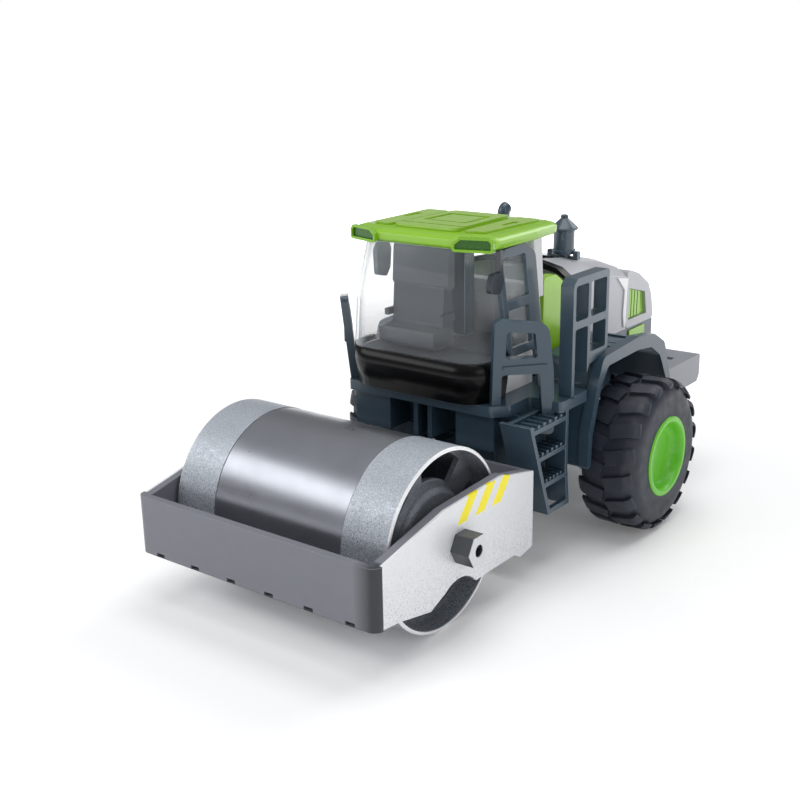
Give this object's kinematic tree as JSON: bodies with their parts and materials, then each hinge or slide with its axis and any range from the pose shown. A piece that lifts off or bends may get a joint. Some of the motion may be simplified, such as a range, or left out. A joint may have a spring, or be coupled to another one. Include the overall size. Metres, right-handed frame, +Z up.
{
  "type": "toy road roller",
  "caption": "Toy single-drum road roller: a rolling drum in a steering frame, a clear cab, a hood, fenders and two lugged rear wheels.",
  "frame": {"origin": "on the ground under the middle of the bounding box", "axes": "+X the vehicle's left, -Y its front, +Z up"},
  "size_m": [0.1152, 0.2, 0.102],
  "materials": {
    "slate": "satin moulded plastic",
    "frame_grey": "satin paint",
    "silver_print": "silver print",
    "drum_band": "grained silver paint",
    "drum_centre": "gloss",
    "steel": "bright",
    "boss_grey": "satin",
    "tyre": "matte",
    "hub_green": "gloss",
    "lime": "gloss",
    "lamp_green": "gloss",
    "light_grey": "satin",
    "white_print": "print",
    "black": "gloss",
    "seat_grey": "satin",
    "clear": "clear"
  },
  "bodies": {
    "chassis": {"chassis": "slate", "chassis_side_left": "slate", "chassis_side_right": "slate", "base_plate": "slate", "chassis_screws": "steel", "steering_pin": "steel", "deck": "slate", "body_shell": "slate", "fender_left": "slate", "fender_right": "slate", "ladder": "slate", "front_rail_left": "slate", "front_rail_right": "slate", "side_rail": "slate", "counterweight": "light_grey", "cab_floor": "seat_grey", "nose_panel": "black", "cab_glass": "clear", "door_left": "slate", "cab_rear_frame": "light_grey", "cab_column": "slate", "seat": "seat_grey", "roof": "lime", "roof_panel": "lime", "roof_lamp_left": "lamp_green", "roof_lamp_right": "lamp_green", "mirror_left": "slate", "mirror_right": "slate", "hood": "light_grey", "hood_side_left": "lime", "hood_side_right": "lime", "hood_trim": "black", "hood_mesh": "black", "grille_left": "lime", "grille_right": "lime", "hood_strip_left": "white_print", "hood_strip_right": "white_print", "air_cleaner": "slate", "air_cleaner_cap": "slate", "exhaust": "slate"},
    "drum_frame": {"drum_frame": "frame_grey", "side_plate_left": "silver_print", "side_plate_right": "silver_print", "hex_boss_left": "boss_grey", "hex_boss_right": "boss_grey", "drum_axle": "steel", "axle_screws": "steel"},
    "drum": {"drum_sleeve": "drum_centre", "drum_end_left": "drum_band", "drum_end_right": "drum_band"},
    "rear_wheels": {"rear_axle": "steel", "hub_left": "hub_green", "hub_right": "hub_green", "tyre_left": "tyre", "tyre_right": "tyre"}
  },
  "joints": [
    {"name": "steer", "type": "hinge", "parent": "chassis", "child": "drum_frame", "pos_m": [0, -0.018, 0.0267], "axis": [0, 0, 1], "range_deg": [-6, 6]},
    {"name": "drum_spin", "type": "hinge", "parent": "drum_frame", "child": "drum", "pos_m": [0, -0.0634, 0.026], "axis": [1, 0, 0], "continuous": true},
    {"name": "wheel_spin", "type": "hinge", "parent": "chassis", "child": "rear_wheels", "pos_m": [0, 0.0336, 0.0251], "axis": [1, 0, 0], "continuous": true}
  ]
}
